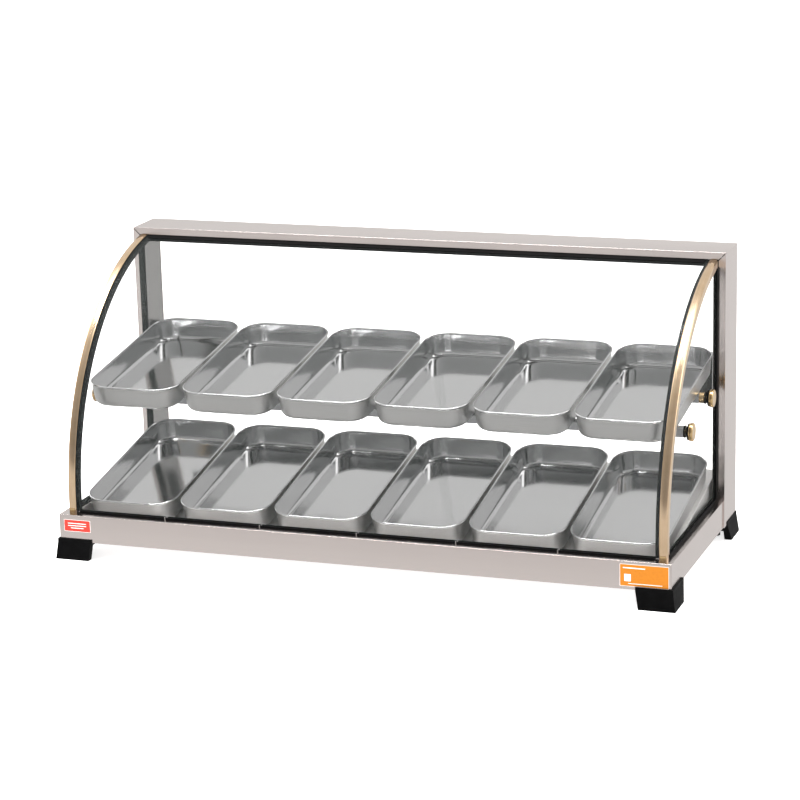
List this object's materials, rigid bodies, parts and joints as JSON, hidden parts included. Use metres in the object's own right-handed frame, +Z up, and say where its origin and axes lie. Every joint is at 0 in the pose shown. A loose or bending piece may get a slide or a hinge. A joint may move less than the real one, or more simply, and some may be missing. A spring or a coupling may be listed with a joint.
{
  "type": "hot food display case",
  "caption": "Countertop heated display case with a curved glass front, a bent steel rear frame, sliding rear doors and tilted rows of food pans.",
  "frame": {"origin": "on the counter, under the middle of the case", "axes": "+Z up, the customer's side faces -Y, +X along the length to the customer's right"},
  "size_m": [1.014, 0.425, 0.473],
  "materials": {
    "housing_steel": "satin",
    "deck_steel": "satin",
    "pan_steel": "satin",
    "bar_steel": "satin",
    "glass": "gloss",
    "brass": "polished",
    "black_rubber": "matte",
    "foot_rubber": "satin",
    "bright_steel": "polished",
    "track_aluminium": "satin",
    "pull_plastic": "matte",
    "control_plastic": "satin",
    "switch_red": "gloss",
    "lamp_amber": "gloss",
    "element_steel": "matte",
    "reflector_aluminium": "satin",
    "terminal_cream": "matte"
  },
  "bodies": {
    "case": {"base_housing": "housing_steel", "beam_gasket": "black_rubber", "beam_soffit": "housing_steel", "bottom_cover": "housing_steel", "bottom_door_track": "track_aluminium", "brass_trim_left": "brass", "brass_trim_right": "brass", "cord_gland": "control_plastic", "curve_seals": "black_rubber", "element_saddles": "reflector_aluminium", "foot_front_left": "foot_rubber", "foot_front_right": "foot_rubber", "foot_rear_left": "foot_rubber", "foot_rear_right": "foot_rubber", "foot_screws": "bright_steel", "front_base_gasket": "black_rubber", "front_glass": "glass", "gasket_clips": "bright_steel", "heat_reflector": "reflector_aluminium", "heated_deck": "deck_steel", "heating_element": "element_steel", "left_jamb": "housing_steel", "left_post": "housing_steel", "pilot_lamp": "lamp_amber", "post_gaskets": "black_rubber", "power_switch": "control_plastic", "rear_control_panel": "housing_steel", "right_jamb": "housing_steel", "right_post": "housing_steel", "shelf_bar_front": "bar_steel", "shelf_bar_rear": "bar_steel", "side_base_gaskets": "black_rubber", "side_glass_left": "glass", "side_glass_right": "glass", "standoff_caps": "brass", "standoff_spacers": "brass", "standoff_washers": "black_rubber", "terminal_block": "terminal_cream", "thermostat": "control_plastic", "top_beam": "housing_steel", "top_door_track": "track_aluminium", "trim_end_clips": "brass"},
    "door_left": {"door_glass_left": "glass", "door_pull_left": "pull_plastic"},
    "door_right": {"door_glass_right": "glass", "door_pull_right": "pull_plastic"},
    "pan_lower_1": {"pan_lower_1": "pan_steel"},
    "pan_lower_2": {"pan_lower_2": "pan_steel"},
    "pan_lower_3": {"pan_lower_3": "pan_steel"},
    "pan_lower_4": {"pan_lower_4": "pan_steel"},
    "pan_lower_5": {"pan_lower_5": "pan_steel"},
    "pan_lower_6": {"pan_lower_6": "pan_steel"},
    "pan_upper_1": {"pan_upper_1": "pan_steel"},
    "pan_upper_2": {"pan_upper_2": "pan_steel"},
    "pan_upper_3": {"pan_upper_3": "pan_steel"},
    "pan_upper_4": {"pan_upper_4": "pan_steel"},
    "pan_upper_5": {"pan_upper_5": "pan_steel"},
    "pan_upper_6": {"pan_upper_6": "pan_steel"},
    "rocker": {"switch_rocker": "switch_red"},
    "knob": {"thermostat_knob": "control_plastic"}
  },
  "joints": [
    {"name": "door_left_slide", "type": "slide", "parent": "case", "child": "door_left", "axis": [1, 0, 0], "range_m": [0, 0.485]},
    {"name": "door_right_slide", "type": "slide", "parent": "case", "child": "door_right", "axis": [-1, 0, 0], "range_m": [0, 0.485]},
    {"name": "thermostat_turn", "type": "hinge", "parent": "case", "child": "knob", "pos_m": [0.25, 0.1915, 0.051], "axis": [0, 1, 0], "range_deg": [0, 270]},
    {"name": "switch_tip", "type": "hinge", "parent": "case", "child": "rocker", "pos_m": [0.18, 0.1925, 0.051], "axis": [0, 0, 1], "range_deg": [0, 18]},
    {"name": "pan_lower_1_lift", "type": "slide", "parent": "case", "child": "pan_lower_1", "axis": [0, 0, 1], "range_m": [0, 0.06]},
    {"name": "pan_lower_2_lift", "type": "slide", "parent": "case", "child": "pan_lower_2", "axis": [0, 0, 1], "range_m": [0, 0.06]},
    {"name": "pan_lower_3_lift", "type": "slide", "parent": "case", "child": "pan_lower_3", "axis": [0, 0, 1], "range_m": [0, 0.06]},
    {"name": "pan_lower_4_lift", "type": "slide", "parent": "case", "child": "pan_lower_4", "axis": [0, 0, 1], "range_m": [0, 0.06]},
    {"name": "pan_lower_5_lift", "type": "slide", "parent": "case", "child": "pan_lower_5", "axis": [0, 0, 1], "range_m": [0, 0.06]},
    {"name": "pan_lower_6_lift", "type": "slide", "parent": "case", "child": "pan_lower_6", "axis": [0, 0, 1], "range_m": [0, 0.06]},
    {"name": "pan_upper_1_lift", "type": "slide", "parent": "case", "child": "pan_upper_1", "axis": [0, 0.7071, 0.7071], "range_m": [0, 0.02]},
    {"name": "pan_upper_2_lift", "type": "slide", "parent": "case", "child": "pan_upper_2", "axis": [0, 0.7071, 0.7071], "range_m": [0, 0.02]},
    {"name": "pan_upper_3_lift", "type": "slide", "parent": "case", "child": "pan_upper_3", "axis": [0, 0.7071, 0.7071], "range_m": [0, 0.02]},
    {"name": "pan_upper_4_lift", "type": "slide", "parent": "case", "child": "pan_upper_4", "axis": [0, 0.7071, 0.7071], "range_m": [0, 0.02]},
    {"name": "pan_upper_5_lift", "type": "slide", "parent": "case", "child": "pan_upper_5", "axis": [0, 0.7071, 0.7071], "range_m": [0, 0.02]},
    {"name": "pan_upper_6_lift", "type": "slide", "parent": "case", "child": "pan_upper_6", "axis": [0, 0.7071, 0.7071], "range_m": [0, 0.02]}
  ]
}
